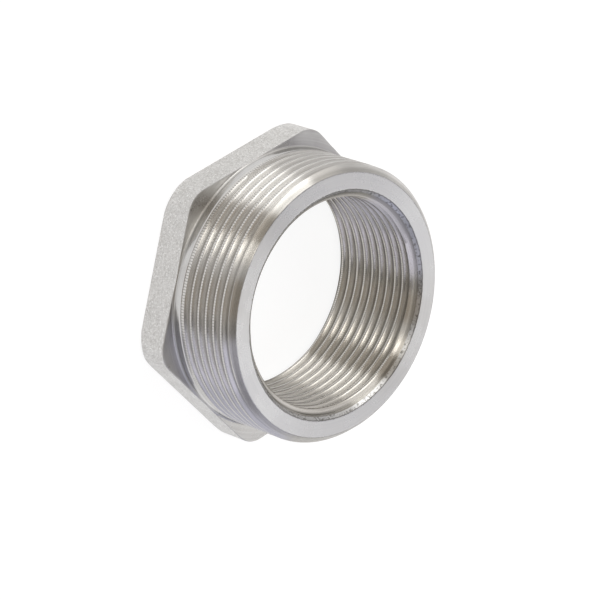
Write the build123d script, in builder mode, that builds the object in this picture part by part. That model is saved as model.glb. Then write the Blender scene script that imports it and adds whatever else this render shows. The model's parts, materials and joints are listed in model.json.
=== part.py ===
from build123d import *
import os
from math import radians, tan

# A hex reducing bushing, turned and cast in one piece.  It stands on the back face of its
# hexagonal head, with the barrel of the male thread upwards and the bore along +Z.
# Millimetres.  Both threads are drawn as their turned blanks: the male one at its major
# diameter and the female one at its minor diameter.

# Barrel of the 2 inch male pipe thread
male_major_diameter = 59.614
total_length = 24.8
barrel_root_radius = 0.5
nose_chamfer = 1.6

# Head: its flats stand just outside the barrel, and the round land of its back face reaches
# past the middle of each flat, so that only the corners are chamfered
flat_margin = 0.193
head_height = 7.3
head_corner_radius = 6.0
back_land_margin = 2.5
back_chamfer_angle = 30.0

# Bore of the 1 1/2 inch female pipe thread: the wall lies between the crests of the two threads
barrel_wall = 7.3845
back_sink = 1.88
tap_sink = 1.38
tap_sink_angle = 60.0
front_chamfer = 0.8

# The barrel and the hexagon around it
barrel_radius = male_major_diameter / 2
root_edge_radius = barrel_radius + barrel_root_radius
apothem = barrel_radius + flat_margin
back_land_radius = apothem + back_land_margin

# The bore and its mouths: 45 degree sinks at both faces, and a steeper one that starts the tap
bore_radius = barrel_radius - barrel_wall
back_mouth_radius = bore_radius + back_sink
tap_sink_radius = bore_radius + tap_sink
front_mouth_radius = tap_sink_radius + front_chamfer

# Heights along the bore, and where the head's stock is turned down to the barrel
thread_bottom = back_sink
tap_sink_top = total_length - front_chamfer
thread_top = tap_sink_top - tap_sink / tan(radians(tap_sink_angle))
barrel_start = head_height + barrel_root_radius

# The turning cuts reach past the hexagon's sharp corners, which lie within this radius
cut_reach = 2 * apothem

os.makedirs("parts", exist_ok=True)

with BuildPart() as hex_bushing:
    # Hexagonal stock of the head, with its corners rounded as cast
    with BuildSketch() as head_outline:
        RegularPolygon(apothem, 6, major_radius=False)
        fillet(head_outline.vertices(), head_corner_radius)
    extrude(amount=barrel_start)

    # Shoulder turned across the hexagon, running into the barrel by a small root fillet
    with BuildSketch(Plane.XZ):
        with BuildLine():
            Line((cut_reach, head_height), (root_edge_radius, head_height))
            CenterArc(
                (root_edge_radius, barrel_start),
                barrel_root_radius,
                start_angle=-90,
                arc_size=-90,
            )
            Polyline((barrel_radius, barrel_start), (cut_reach, barrel_start), (cut_reach, head_height))
        make_face()
    revolve(axis=Axis.Z, mode=Mode.SUBTRACT)

    # Conical chamfer that takes the hexagon's corners off at the back face
    with BuildSketch(Plane.XZ):
        back_chamfer_rise = (cut_reach - back_land_radius) * tan(radians(back_chamfer_angle))
        with BuildLine():
            Polyline(
                (back_land_radius, 0), (cut_reach, 0), (cut_reach, back_chamfer_rise), close=True
            )
        make_face()
    revolve(axis=Axis.Z, mode=Mode.SUBTRACT)

    # Barrel, with a chamfered nose that leads the male thread in
    with BuildSketch(Plane.XY.offset(barrel_start)):
        Circle(barrel_radius)
    extrude(amount=total_length - barrel_start)
    chamfer(hex_bushing.faces().sort_by(Axis.Z)[-1].edges(), nose_chamfer)

    # Bore: sink at the back, thread wall, sink that starts the tap, and the front chamfer
    with BuildSketch(Plane.XZ):
        with BuildLine():
            Polyline(
                (0, 0),
                (back_mouth_radius, 0),
                (bore_radius, thread_bottom),
                (bore_radius, thread_top),
                (tap_sink_radius, tap_sink_top),
                (front_mouth_radius, total_length),
                (0, total_length),
                close=True,
            )
        make_face()
    revolve(axis=Axis.Z, mode=Mode.SUBTRACT)

hex_bushing.part.label = "hex_bushing"
export_step(hex_bushing.part, "parts/hex_bushing.step")
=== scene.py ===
import json
import math

import bmesh
import bpy
import numpy as np
from mathutils import Matrix, Vector


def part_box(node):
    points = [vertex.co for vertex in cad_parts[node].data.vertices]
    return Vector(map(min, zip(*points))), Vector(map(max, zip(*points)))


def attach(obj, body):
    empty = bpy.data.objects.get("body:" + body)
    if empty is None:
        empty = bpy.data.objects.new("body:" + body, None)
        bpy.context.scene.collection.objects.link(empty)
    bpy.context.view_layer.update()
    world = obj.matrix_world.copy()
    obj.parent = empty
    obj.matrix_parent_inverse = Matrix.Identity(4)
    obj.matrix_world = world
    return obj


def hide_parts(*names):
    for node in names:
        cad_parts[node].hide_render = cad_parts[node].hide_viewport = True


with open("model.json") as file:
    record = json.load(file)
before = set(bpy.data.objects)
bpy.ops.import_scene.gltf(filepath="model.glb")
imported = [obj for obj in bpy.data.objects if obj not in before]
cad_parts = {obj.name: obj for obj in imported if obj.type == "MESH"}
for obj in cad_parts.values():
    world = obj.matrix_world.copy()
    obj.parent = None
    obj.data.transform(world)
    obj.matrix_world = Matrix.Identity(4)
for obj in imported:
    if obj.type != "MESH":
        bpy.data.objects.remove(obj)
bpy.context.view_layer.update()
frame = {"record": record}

# The hex bushing's looks: one closed mesh with both threads cut in it replaces the plain turned
# blank of the frame.  Lengths are in millimetres, in the frame's own axes, until the mesh is
# written in metres.
MM = 0.001


def mount(name):
    """The record's mount of that name."""
    return next(m for m in frame["record"]["mounts"] if m["name"] == name)


# Sizes that the frame gives
low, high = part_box("hex_bushing")
across_flats = (high.y - low.y) / MM
total_length = high.z / MM
barrel_radius = mount("male_thread")["dims"]["r_mm"]
bore_radius = mount("female_thread")["dims"]["r_mm"]

# Sizes of the head, the barrel's ends and the bore's mouths, as in the solid
head_height = 7.3
head_corner_radius = 6.0
back_land_radius = 32.5
back_chamfer_slope = math.tan(math.radians(30))
root_fillet = 0.5
nose_chamfer = 1.6
back_sink = 1.88
tap_sink = 1.38
tap_sink_slope = math.tan(math.radians(60))
front_chamfer = 0.8
back_mouth_radius = bore_radius + back_sink
tap_sink_radius = bore_radius + tap_sink
front_mouth_radius = tap_sink_radius + front_chamfer
tap_sink_top = total_length - front_chamfer
nose_radius = barrel_radius - nose_chamfer

# Both threads: 11 turns to the inch at 55 degrees, with a narrow flat left on the crests and a
# well-rounded root
pitch = 25.4 / 11
flank_angle = math.radians(27.5)
crest_flat = 0.4
crest_rounding = 0.12
root_rounding = 0.45
crest_end = crest_flat / 2 + crest_rounding * math.cos(flank_angle)
crest_drop = crest_rounding * (1 - math.sin(flank_angle))
root_start = pitch / 2 - root_rounding * math.cos(flank_angle)
flank_drop = (root_start - crest_end) / math.tan(flank_angle)
thread_depth = crest_drop + flank_drop + root_rounding * (1 - math.sin(flank_angle))

# Height of a crest on each thread at angle 0
male_phase = 20.08
female_phase = 20.331

# The scribed line at the neck, and how far the male thread runs out above it
neck_line = 9.6
neck_line_depth = 0.12
neck_line_half = 0.17
neck_top = neck_line + neck_line_half
run_out = 0.9

# How finely the mesh is divided, and how much its edges are broken
columns = 336
root_steps = 3
fillet_steps = 6
flank_shares = (0.33, 0.67)
side_shares = (0, 0.05, 0.2, 0.35, 0.5, 0.65, 0.8, 0.95)
chamfer_shares = (0.1, 0.9)
row_margin = 0.3
edge_break = 0.12
support = 0.35
sharp_angle = math.radians(40)

# In metres, because they act on the mesh once it is written
merge_distance = 2e-6
sliver_length = 1e-7

# Share of the break that is left at the middle of a broken edge, which rounds it
side_edge_middle = 0.3
lip_middle = 0.2

# The hexagon's front edge: ripples round it, and small nicks at random places, with their width
# in radians
edge_seed = 7
ripple_waves = (23, 41, 67, 97, 139)
ripple_mean = 0.75
ripple_size = 0.45
nick_count = 26
nick_depths = (0.03, 0.16)
nick_width = 0.02


def hexagon_radius(theta):
    """Distance from the axis to the rounded hexagon's outline, with corners on the X axis."""
    apothem = across_flats / 2
    from_corner = np.abs((theta + np.pi / 6) % (np.pi / 3) - np.pi / 6)
    centre = (apothem - head_corner_radius) / math.cos(np.pi / 6)
    flat = apothem / np.cos(np.pi / 6 - from_corner)
    inside = np.maximum(head_corner_radius**2 - (centre * np.sin(from_corner)) ** 2, 0)
    corner = centre * np.cos(from_corner) + np.sqrt(inside)
    tangent = math.atan2(
        head_corner_radius / 2, centre + head_corner_radius * math.cos(np.pi / 6)
    )
    return np.where(from_corner < tangent, corner, flat)


def thread_drop(u):
    """Depth below the crest at the distance u along the axis from the crest's middle."""
    u = np.abs((u + pitch / 2) % pitch - pitch / 2)
    past_flat = np.maximum(u - crest_flat / 2, 0)
    crest = crest_rounding - np.sqrt(np.maximum(crest_rounding**2 - past_flat**2, 0))
    flank = crest_drop + (u - crest_end) / math.tan(flank_angle)
    from_root = pitch / 2 - u
    arc = np.sqrt(np.maximum(root_rounding**2 - from_root**2, 0))
    root = thread_depth - root_rounding + arc
    return np.where(u < crest_end, crest, np.where(u > root_start, root, flank))


def thread_rows():
    """Places along one pitch, from a crest's middle, where the thread's section has a row."""
    half = [crest_flat / 2, crest_end]
    half += [crest_end + (root_start - crest_end) * share for share in flank_shares]
    turn = np.pi / 2 - flank_angle
    for step in range(root_steps):
        half.append(pitch / 2 - root_rounding * math.sin(turn * (1 - step / root_steps)))
    return half + [pitch / 2] + [pitch - place for place in reversed(half)]


def helical_rows(theta, phase, low_z, high_z):
    """Heights of rows that climb with a right-hand thread, held between two heights."""
    rows = thread_rows()
    first = math.floor((low_z - pitch - phase) / pitch) - 1
    last = math.ceil((high_z - phase) / pitch) + 1
    starts = [phase + n * pitch + row for n in range(first, last) for row in rows]
    lowest = low_z - pitch - row_margin
    highest = high_z + row_margin
    starts = [s for s in starts if lowest < s < highest]
    climb = pitch * theta / (2 * np.pi)
    return [np.clip(s + climb, low_z, high_z) for s in sorted(starts)]


def smooth_step(x, start, end):
    """Zero up to start, one from end on, and smooth between them."""
    t = np.clip((x - start) / (end - start), 0, 1)
    return t * t * (3 - 2 * t)


def male_radius(theta, z):
    """The barrel: its blank with the nose chamfer, and the thread that runs out at the neck."""
    blank = np.minimum(barrel_radius, barrel_radius - nose_chamfer + total_length - z)
    crest = male_phase + pitch * theta / (2 * np.pi)
    retract = thread_depth * (1 - smooth_step(z, neck_top, neck_top + run_out))
    return np.minimum(blank, barrel_radius - thread_drop(z - crest) + retract)


def female_radius(theta, z):
    """The bore: its blank with a sink at each end, and the thread between them."""
    blank = np.maximum(bore_radius, back_mouth_radius - z)
    blank = np.maximum(blank, tap_sink_radius - (tap_sink_top - z) * tap_sink_slope)
    crest = female_phase + pitch * theta / (2 * np.pi)
    return np.maximum(blank, bore_radius + thread_drop(z - crest))


def worn_edge(theta):
    """How far the hexagon's front edge is broken: unevenly, with a few small nicks."""
    chance = np.random.default_rng(edge_seed)
    ripple = np.zeros_like(theta)
    for waves in ripple_waves:
        phase = chance.uniform(0, 2 * np.pi)
        ripple = ripple + np.sin(waves * theta + phase) / len(ripple_waves)
    nick_places = chance.uniform(0, 2 * np.pi, nick_count)
    depths = chance.uniform(*nick_depths, nick_count)
    nicks = np.zeros_like(theta)
    for place, depth in zip(nick_places, depths):
        apart = np.abs((theta - place + np.pi) % (2 * np.pi) - np.pi)
        nicks = np.maximum(nicks, depth * np.exp(-((apart / nick_width) ** 2)))
    return edge_break * (ripple_mean + ripple_size * ripple) + nicks


def section_rows(theta):
    """Rows (radius, height, finish) round the section, from the bore's back mouth outwards."""
    ones = np.ones_like(theta)
    outline = hexagon_radius(theta)
    rows = []

    def row(radius, height, finish):
        rows.append((radius * ones, height * ones, finish))

    # Back face, its conical corners and the hexagon's sides
    land = np.minimum(outline - edge_break, back_land_radius)
    corner_rise = np.maximum(outline - back_land_radius, 0) * back_chamfer_slope
    row(back_mouth_radius + edge_break, 0, "turned")
    row(back_mouth_radius + support, 0, "turned")
    row(land - support, 0, "turned")
    row(land, 0, "turned")
    for share in chamfer_shares:
        radius = land + (outline - land) * share
        row(radius, corner_rise * share + edge_break * share / 2, "turned")
    side_bottom = corner_rise + edge_break
    root_edge = barrel_radius + root_fillet
    worn = worn_edge(theta)
    shoulder_end = np.minimum(outline - worn, root_edge)
    fillet_angle = np.arcsin(np.clip((root_edge - shoulder_end) / root_fillet, 0, 1))
    lift = root_fillet * (1 - np.cos(fillet_angle))
    side_top = head_height + lift - worn
    for share in side_shares:
        row(outline, side_bottom + (side_top - side_bottom) * share, "cast")
    row(outline, side_top, "shoulder")

    # Turned shoulder, root fillet and neck
    middle = worn * side_edge_middle
    row(outline - middle, head_height + lift - middle, "shoulder")
    row(outline - worn, head_height + lift, "shoulder")
    row(np.maximum(outline - worn - support, shoulder_end), head_height + lift, "shoulder")
    for step in range(fillet_steps + 1):
        angle = fillet_angle + (np.pi / 2 - fillet_angle) * step / fillet_steps
        row(
            root_edge - root_fillet * np.sin(angle),
            head_height + root_fillet * (1 - np.cos(angle)),
            "shoulder",
        )
    row(barrel_radius, head_height + root_fillet + support, "turned")
    row(barrel_radius, neck_line - neck_line_half - support, "turned")
    row(barrel_radius, neck_line - neck_line_half, "turned")
    row(barrel_radius - neck_line_depth, neck_line, "turned")

    # Male thread and nose
    lip = edge_break * lip_middle
    for height in helical_rows(theta, male_phase, neck_top, total_length - edge_break):
        row(male_radius(theta, height), height, "thread")
    row(nose_radius + lip, total_length - lip, "face")
    row(nose_radius - edge_break, total_length, "face")
    row(nose_radius - support, total_length, "face")
    row((nose_radius + front_mouth_radius) / 2, total_length, "face")

    # Front mouth and lead
    row(front_mouth_radius + support, total_length, "face")
    row(front_mouth_radius + edge_break, total_length, "face")
    row(front_mouth_radius - lip, total_length - lip, "face")
    row(front_mouth_radius - edge_break, total_length - edge_break, "face")
    row(tap_sink_radius + edge_break, tap_sink_top + edge_break, "bore")

    # Female thread, down to the back sink
    for height in reversed(helical_rows(theta, female_phase, edge_break, tap_sink_top)):
        row(female_radius(theta, height), height, "bore")
    return rows


def bushing_mesh(finishes):
    """The closed mesh of the bushing, with each face's material index set by its finish."""
    theta = np.linspace(0, 2 * np.pi, columns + 1)
    rows = section_rows(theta)
    radius = np.array([r[0] for r in rows])
    height = np.array([r[1] for r in rows])
    points = np.stack([radius * np.cos(theta), radius * np.sin(theta), height], axis=-1)
    across = columns + 1
    count = len(rows)
    faces = []
    slots = []
    for i in range(count):
        here, there = i * across, (i + 1) % count * across
        for j in range(columns):
            faces.append((here + j, here + j + 1, there + j + 1, there + j))
        slots += [finishes.index(rows[i][2])] * columns
    mesh = bpy.data.meshes.new("hex_bushing_detail")
    mesh.from_pydata((points.reshape(-1, 3) * MM).tolist(), [], faces)
    mesh.polygons.foreach_set("material_index", slots)
    shell = bmesh.new()
    shell.from_mesh(mesh)
    bmesh.ops.remove_doubles(shell, verts=shell.verts, dist=merge_distance)
    bmesh.ops.dissolve_degenerate(shell, edges=shell.edges, dist=sliver_length)
    bmesh.ops.recalc_face_normals(shell, faces=shell.faces)
    shell.to_mesh(mesh)
    shell.free()
    mesh.polygons.foreach_set("use_smooth", [True] * len(mesh.polygons))
    mesh.set_sharp_from_angle(angle=sharp_angle)
    return mesh


# Colours of the finishes, each varying from a dark one to a pale one
FLATS_DARK = (0.56, 0.55, 0.535)
FLATS_PALE = (0.71, 0.7, 0.69)
FLECK = (0.92, 0.92, 0.91)
SPECK = (0.42, 0.41, 0.4)
NECK_DARK = (0.51, 0.5, 0.49)
NECK_PALE = (0.6, 0.595, 0.59)
# The shoulder's colours: a darker copy of the neck's, painted shade on its facets
SHOULDER_DARK = (0.45, 0.44, 0.43)
SHOULDER_PALE = (0.54, 0.535, 0.525)
# The threads' dark colours are painted shade, laid in their roots
MALE_ROOT_SHADE = (0.4, 0.39, 0.37)
MALE_PALE = (0.65, 0.635, 0.615)
FEMALE_ROOT_SHADE = (0.26, 0.25, 0.23)
FEMALE_PALE = (0.66, 0.635, 0.595)
RING_DARK = (0.545, 0.545, 0.55)
RING_PALE = (0.605, 0.6, 0.6)
SPECKLE = (0.25, 0.245, 0.235)
# Painted shade: the thin dark lines along the front ring's edges
PAINTED_EDGE_SHADE = (0.22, 0.215, 0.21)

# Heights of the bumps in millimetres
GRAIN_DEPTH = 0.24
FACE_MARK_DEPTH = 0.0015
RING_MARK_DEPTH = 0.0022
THREAD_MARK_DEPTH = 0.014
BEAD_HEIGHT = 0.006

# Turning marks: how fine they are, and how far they wander in one turn
FACE_MARKS = (5.0, 2.5)
THREAD_MARKS = (7.0, 2.0)

# Patches on the turned faces: scale, detail and roughness, and their share in the colour
PATCHES = (0.18, 3.0, 0.6)
PATCH_SHARE = 0.45

# Beads in one turn of a crest, and the colour of the painted shade in the gaps between them as a
# share of the roots'
CHATTER_WAVES = 313
GAP_SHADE = 0.6


def node(tree, kind, inputs=(), **settings):
    """Adds a node, sets its properties, and links or sets its inputs by name or number."""
    made = tree.nodes.new(kind)
    for name, value in settings.items():
        setattr(made, name, value)
    for name, value in dict(inputs).items():
        if isinstance(value, bpy.types.NodeSocket):
            tree.links.new(value, made.inputs[name])
        else:
            made.inputs[name].default_value = value
    return made


def maths(tree, operation, *values):
    """The result of a Math node."""
    return node(tree, "ShaderNodeMath", enumerate(values), operation=operation).outputs[0]


def ramp(tree, value, start, end, low=0.0, high=1.0):
    """A value brought smoothly from low at start to high at end."""
    inputs = {"Value": value, "From Min": start, "From Max": end, "To Min": low, "To Max": high}
    made = node(tree, "ShaderNodeMapRange", inputs, interpolation_type="SMOOTHSTEP")
    return made.outputs["Result"]


def window(tree, value, start, end, softness):
    """One between start and end, fading to nothing beyond them over the softness."""
    rise = ramp(tree, value, start - softness / 2, start + softness / 2)
    fall = ramp(tree, value, end - softness / 2, end + softness / 2, 1.0, 0.0)
    return maths(tree, "MULTIPLY", rise, fall)


def tint(tree, share, first, second):
    """A colour mixed from two; the first may be another node's colour."""
    made = node(tree, "ShaderNodeMix", {"Factor": share}, data_type="RGBA")
    if isinstance(first, bpy.types.NodeSocket):
        tree.links.new(first, made.inputs["A"])
    else:
        made.inputs["A"].default_value = (*first, 1)
    made.inputs["B"].default_value = (*second, 1)
    return made.outputs["Result"]


def blend(tree, first, second, share):
    """A value mixed from two."""
    kept = maths(tree, "MULTIPLY", first, 1 - share)
    return maths(tree, "ADD", kept, maths(tree, "MULTIPLY", second, share))


def length(tree, x, y):
    """The length of a vector with the parts x and y."""
    squares = [maths(tree, "MULTIPLY", part, part) for part in (x, y)]
    return maths(tree, "SQRT", maths(tree, "ADD", *squares))


def places(tree):
    """The place on the object in millimetres, its distance from the axis, height and angle."""
    coordinates = node(tree, "ShaderNodeTexCoord").outputs["Object"]
    place = node(
        tree, "ShaderNodeVectorMath", {0: coordinates, 1: (1 / MM,) * 3}, operation="MULTIPLY"
    ).outputs["Vector"]
    split = node(tree, "ShaderNodeSeparateXYZ", {0: place})
    x, y, z = split.outputs
    angle = maths(tree, "ARCTAN2", y, x)
    return place, length(tree, x, y), z, angle


def noise(tree, place, scale, detail=2.0, roughness=0.5):
    """The value of a Noise Texture node, whose scale is per millimetre."""
    inputs = {"Vector": place, "Scale": scale, "Detail": detail, "Roughness": roughness}
    return node(tree, "ShaderNodeTexNoise", inputs).outputs["Fac"]


def turning_marks(tree, radius, z, angle, fineness, wander):
    """Fine marks that run round the axis, as a turning tool leaves them."""
    across = node(
        tree,
        "ShaderNodeCombineXYZ",
        {
            0: maths(tree, "MULTIPLY", radius, fineness),
            1: maths(tree, "MULTIPLY", z, fineness),
            2: maths(tree, "MULTIPLY", maths(tree, "COSINE", angle), wander),
        },
    ).outputs[0]
    along = maths(tree, "MULTIPLY", maths(tree, "SINE", angle), wander)
    inputs = {"Vector": across, "W": along, "Scale": 1.0, "Detail": 3.0, "Roughness": 0.6}
    return node(tree, "ShaderNodeTexNoise", inputs, noise_dimensions="4D").outputs["Fac"]


def bump(tree, height, distance, below=None):
    """A normal bent by a height, over a distance in millimetres, on top of another normal."""
    inputs = {"Height": height, "Distance": distance * MM}
    if below is not None:
        inputs["Normal"] = below
    return node(tree, "ShaderNodeBump", inputs).outputs["Normal"]


def steel(name, anisotropy):
    """A metallic material whose highlights are drawn out across the turning marks."""
    material = bpy.data.materials.new(name)
    material.use_nodes = True
    tree = material.node_tree
    shader = tree.nodes["Principled BSDF"]
    shader.inputs["Metallic"].default_value = 1
    if anisotropy:
        tangent = node(tree, "ShaderNodeTangent", direction_type="RADIAL", axis="Z")
        shader.inputs["Anisotropic"].default_value = anisotropy
        shader.inputs["Anisotropic Rotation"].default_value = 0.25
        tree.links.new(tangent.outputs["Tangent"], shader.inputs["Tangent"])
    return material, tree, shader


def finish(tree, shader, colour, roughness, normal):
    """Links the colour, the roughness and the normal to the shader."""
    for name, value in (("Base Color", colour), ("Roughness", roughness), ("Normal", normal)):
        tree.links.new(value, shader.inputs[name])


def cast_flats():
    """The hexagon's flats: a fine sparkling grain, with shallow pits, pale flecks and dark specks."""
    material, tree, shader = steel("cast_flats", 0)
    place, *_ = places(tree)
    grain = noise(tree, place, 1.9, 3.0, 0.7)
    flecks = ramp(tree, noise(tree, place, 2.2, 2.0, 0.6), 0.56, 0.64)
    specks = ramp(tree, noise(tree, place, 2.2, 1.0), 0.66, 0.72)
    mottle = noise(tree, place, 0.3, 3.0, 0.6)
    pits = node(
        tree, "ShaderNodeTexVoronoi", {"Vector": place, "Scale": 0.8, "Randomness": 1.0}
    ).outputs["Distance"]
    pit_floor = ramp(tree, pits, 0.06, 0.2)
    height = maths(tree, "ADD", grain, maths(tree, "MULTIPLY", pit_floor, 0.3))
    height = maths(tree, "ADD", height, maths(tree, "MULTIPLY", mottle, 0.7))
    share = blend(tree, grain, mottle, 0.3)
    colour = tint(tree, ramp(tree, share, 0.35, 0.65), FLATS_DARK, FLATS_PALE)
    colour = tint(tree, flecks, colour, FLECK)
    colour = tint(tree, specks, colour, SPECK)
    rough = ramp(tree, grain, 0.35, 0.65, 0.5, 0.36)
    finish(tree, shader, colour, rough, bump(tree, height, GRAIN_DEPTH))
    return material


def turned(name, anisotropy, roughness, mark_depth, dark, pale):
    """A turned face: fine marks round the axis, and faint patches."""
    material, tree, shader = steel(name, anisotropy)
    place, radius, z, angle = places(tree)
    marks = turning_marks(tree, radius, z, angle, *FACE_MARKS)
    patches = noise(tree, place, *PATCHES)
    share = ramp(tree, blend(tree, marks, patches, PATCH_SHARE), 0.35, 0.65)
    colour = tint(tree, share, dark, pale)
    rough = ramp(tree, patches, 0.35, 0.65, roughness * 0.9, roughness * 1.1)
    finish(tree, shader, colour, rough, bump(tree, marks, mark_depth))
    return material


def front_ring():
    """The front ring and chamfer: thin dark lines of painted shade along both edges, and a speckle on
    the chamfer.
    """
    material, tree, shader = steel("front_face", 0.95)
    place, radius, z, angle = places(tree)
    marks = turning_marks(tree, radius, z, angle, *FACE_MARKS)
    patches = noise(tree, place, *PATCHES)
    ragged = maths(tree, "MULTIPLY", noise(tree, place, 1.3, 2.0), 0.3)
    outer = maths(tree, "ADD", radius, ragged)
    outer = ramp(tree, outer, nose_radius - 0.05, nose_radius + 0.1, 0.0, 0.5)
    inner = maths(tree, "SUBTRACT", maths(tree, "ADD", front_mouth_radius, ragged), radius)
    rise = ramp(tree, inner, 0.0, 0.15)
    fall = ramp(tree, inner, 0.2, 0.35, 1.0, 0.0)
    inner = maths(tree, "MULTIPLY", rise, fall)
    speckle = ramp(tree, noise(tree, place, 1.6, 3.0, 0.7), 0.52, 0.6)
    mouth = ramp(tree, radius, front_mouth_radius - 0.2, front_mouth_radius, 1.0, 0.0)
    share = ramp(tree, blend(tree, marks, patches, PATCH_SHARE), 0.3, 0.7)
    colour = tint(tree, share, RING_DARK, RING_PALE)
    colour = tint(tree, maths(tree, "MULTIPLY", mouth, speckle), colour, SPECKLE)
    # Painted shade along both edges of the ring
    colour = tint(tree, maths(tree, "MAXIMUM", outer, inner), colour, PAINTED_EDGE_SHADE)
    rough = ramp(tree, patches, 0.35, 0.65, 0.25, 0.31)
    finish(tree, shader, colour, rough, bump(tree, marks, RING_MARK_DEPTH))
    return material


def cut_threads(name, crest_radius, dark, pale):
    """Thread flanks with fine lines round them, painted shade towards the roots, and beaded along the
    crests with painted shade between the beads.
    """
    material, tree, shader = steel(name, 1.0)
    place, radius, z, angle = places(tree)
    marks = turning_marks(tree, radius, z, angle, *THREAD_MARKS)
    below = maths(tree, "ABSOLUTE", maths(tree, "SUBTRACT", radius, crest_radius))
    chatter = maths(tree, "SINE", maths(tree, "MULTIPLY", angle, CHATTER_WAVES))
    worn = noise(tree, place, 0.5, 2.0)
    on_crest = ramp(tree, below, 0.02, 0.09, 1.0, 0.0)
    crest = maths(tree, "MULTIPLY", on_crest, ramp(tree, worn, 0.2, 0.42))
    beads = maths(tree, "MULTIPLY", chatter, crest)
    # Painted shade: the colour darkens from half the thread's depth down to the roots
    flank = ramp(tree, below, thread_depth * 0.5, thread_depth * 0.95, 1.0, 0.0)
    share = blend(tree, flank, ramp(tree, marks, 0.3, 0.6), 0.3)
    colour = tint(tree, share, dark, pale)
    # Painted shade in the gaps between the beads along the crests
    bead_gap_shade = ramp(tree, beads, 0.2, 0.9, 0.0, 0.65)
    colour = tint(tree, bead_gap_shade, colour, [part * GAP_SHADE for part in dark])
    rough = ramp(tree, worn, 0.35, 0.65, 0.21, 0.24)
    lines = bump(tree, marks, THREAD_MARK_DEPTH)
    finish(tree, shader, colour, rough, bump(tree, beads, BEAD_HEIGHT, below=lines))
    return material


# One material for each finish, in the same order
finishes = ["cast", "turned", "shoulder", "thread", "bore", "face"]
mesh = bushing_mesh(finishes)
for material in (
    cast_flats(),
    turned("turned_neck", 0.5, 0.2, FACE_MARK_DEPTH, NECK_DARK, NECK_PALE),
    # Rougher than the neck, and darker in colour as painted shade on the facets
    turned("turned_shoulder", 0.5, 0.3, FACE_MARK_DEPTH, SHOULDER_DARK, SHOULDER_PALE),
    cut_threads("cut_male_thread", barrel_radius, MALE_ROOT_SHADE, MALE_PALE),
    cut_threads("cut_female_thread", bore_radius, FEMALE_ROOT_SHADE, FEMALE_PALE),
    front_ring(),
):
    mesh.materials.append(material)
bushing = bpy.data.objects.new("hex_bushing_detail", mesh)
bpy.context.scene.collection.objects.link(bushing)
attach(bushing, "root")
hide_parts("hex_bushing")

# Floor: grey where it is lit, and pale where the camera, metal or glass sees it
floor_half = 3.0
floor_glow = 0.86
floor_grey = (0.25, 0.25, 0.25, 1)
floor_mesh = bpy.data.meshes.new("floor")
corner_signs = ((-1, -1), (1, -1), (1, 1), (-1, 1))
floor_corners = [(a * floor_half, b * floor_half, 0) for a, b in corner_signs]
floor_mesh.from_pydata(floor_corners, [], [(0, 1, 2, 3)])
floor = bpy.data.objects.new("floor", floor_mesh)
floor_material = bpy.data.materials.new("floor_white")
floor_material.use_nodes = True
tree = floor_material.node_tree
tree.nodes.remove(tree.nodes["Principled BSDF"])
path = node(tree, "ShaderNodeLightPath").outputs
seen = maths(tree, "MAXIMUM", path["Is Camera Ray"], path["Is Glossy Ray"])
seen = maths(tree, "MAXIMUM", seen, path["Is Transmission Ray"])
seen = maths(tree, "MULTIPLY", seen, floor_glow)
lit = node(tree, "ShaderNodeBsdfDiffuse", {"Color": floor_grey}).outputs[0]
glow = node(tree, "ShaderNodeEmission", {"Color": (1, 1, 1, 1), "Strength": seen}).outputs[0]
both = node(tree, "ShaderNodeAddShader", {0: lit, 1: glow}).outputs[0]
tree.links.new(both, tree.nodes["Material Output"].inputs["Surface"])
floor_mesh.materials.append(floor_material)
bpy.context.scene.collection.objects.link(floor)
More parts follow.
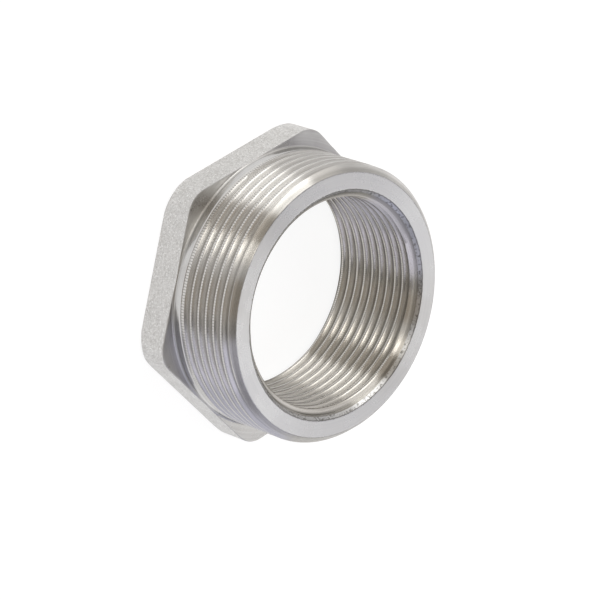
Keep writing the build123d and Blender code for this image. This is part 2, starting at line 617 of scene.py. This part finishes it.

# Studio dome.  The turning marks spread each highlight along a line that, seen from above, passes
# through the direction that the front face mirrors; so the soft panels and the dark gaps between
# them are laid out by their bearing in degrees round that direction, from -Y towards +X, and by
# their reach from it.  They are fitted to this photograph's reflections: the first values were
# rounded from a least-squares fit to its brightness, and were then changed.
mirrored = (0.131, 0.705)
DOME_LEVEL = (0.66, 0.65, 0.64)
PANELS = [
    # (bearing from, to, softness), (reach from, to, softness), colour
    ((-200, 200, 1), (-1, 0.36, 0.1), (1.35, 1.34, 1.33)),
    ((-200, -140, 20), (0.36, 2, 0.1), (1.0, 0.99, 0.98)),
    ((150, 200, 20), (0.36, 2, 0.1), (1.0, 0.99, 0.98)),
    ((-118, -18, 16), (-1, 0.36, 0.1), (0.47, 0.46, 0.51)),
    ((-120, -61, 6), (0.3, 0.62, 0.1), (1.0, 0.98, 0.98)),
    ((-61, 62, 6), (0.32, 0.62, 0.1), (0.35, 0.35, 0.36)),
    ((-95, -58, 16), (1.0, 2, 0.1), (1.15, 1.12, 1.08)),
    ((-36, -16, 8), (0.82, 1.34, 0.1), (2.9, 2.8, 2.62)),
    ((-35, -12, 12), (1.36, 2, 0.1), (0.7, 0.68, 0.64)),
    ((-35, -10, 10), (0.4, 0.8, 0.15), (0.55, 0.52, 0.48)),
    ((-40, -24.5, 2), (0.4, 1.25, 0.1), (0.36, 0.32, 0.27)),
    ((-40, -24.5, 2), (1.25, 2, 0.1), (0.6, 0.55, 0.48)),
    ((-61, -40, 6), (0.62, 1.0, 0.1), (0.8, 0.78, 0.75)),
    ((-61, -40, 6), (1.0, 1.3, 0.1), (2.9, 2.88, 2.82)),
    ((-61, -38, 8), (1.3, 2, 0.1), (1.4, 1.37, 1.3)),
    ((-10, 10, 6), (0.4, 0.85, 0.15), (0.62, 0.58, 0.53)),
    ((-8, 10, 6), (0.85, 2, 0.15), (0.38, 0.34, 0.29)),
    ((10, 18, 3), (0.4, 1.0, 0.15), (1.3, 1.27, 1.2)),
    ((9.5, 18, 3), (0.85, 1.32, 0.1), (0.02, 0.02, 0.02)),
    ((10, 18, 3), (1.3, 2, 0.15), (0.4, 0.38, 0.35)),
    ((18, 62, 4), (0.6, 1.0, 0.1), (1.1, 1.1, 1.32)),
    ((42, 80, 10), (0.45, 1.0, 0.1), (0.66, 0.67, 0.8)),
    ((18, 62, 4), (1.0, 1.28, 0.1), (0.35, 0.35, 0.4)),
    ((18, 62, 4), (1.28, 2, 0.1), (0.66, 0.66, 0.75)),
]

world = bpy.data.worlds.new("studio")
world.use_nodes = True
tree = world.node_tree
direction = node(tree, "ShaderNodeTexCoord").outputs["Generated"]
x, y, z = node(tree, "ShaderNodeSeparateXYZ", {0: direction}).outputs
x = maths(tree, "SUBTRACT", x, mirrored[0])
y = maths(tree, "SUBTRACT", y, mirrored[1])
bearing = maths(tree, "DEGREES", maths(tree, "ARCTAN2", x, maths(tree, "MULTIPLY", y, -1.0)))
reach = length(tree, x, y)
dome = DOME_LEVEL
for bearings, reaches, colour in PANELS:
    share = maths(tree, "MULTIPLY", window(tree, bearing, *bearings), window(tree, reach, *reaches))
    dome = tint(tree, share, dome, colour)
tree.links.new(dome, tree.nodes["Background"].inputs["Color"])
bpy.context.scene.world = world

# Camera: at the photograph's viewing angle, rolled because the bushing stands on its hexagon here
aim = (1.498, 0.496, 13.184)
azimuth = math.radians(-100.535)
elevation = math.radians(44.168)
roll = math.radians(108.657)
distance = 719.52
camera_data = bpy.data.cameras.new("camera")
camera_data.lens = 206.68
camera_data.sensor_width = 36
camera_data.clip_start = 0.01
camera_data.clip_end = 100
camera = bpy.data.objects.new("camera", camera_data)
bpy.context.scene.collection.objects.link(camera)

back = Vector(
    (
        math.cos(elevation) * math.cos(azimuth),
        math.cos(elevation) * math.sin(azimuth),
        math.sin(elevation),
    )
)
camera.location = (Vector(aim) + back * distance) * MM
turn = (-back).to_track_quat("-Z", "Y").to_matrix() @ Matrix.Rotation(roll, 3, "Z")
camera.rotation_mode = "QUATERNION"
camera.rotation_quaternion = turn.to_quaternion()
bpy.context.scene.camera = camera
bpy.context.scene.view_settings.view_transform = "Standard"
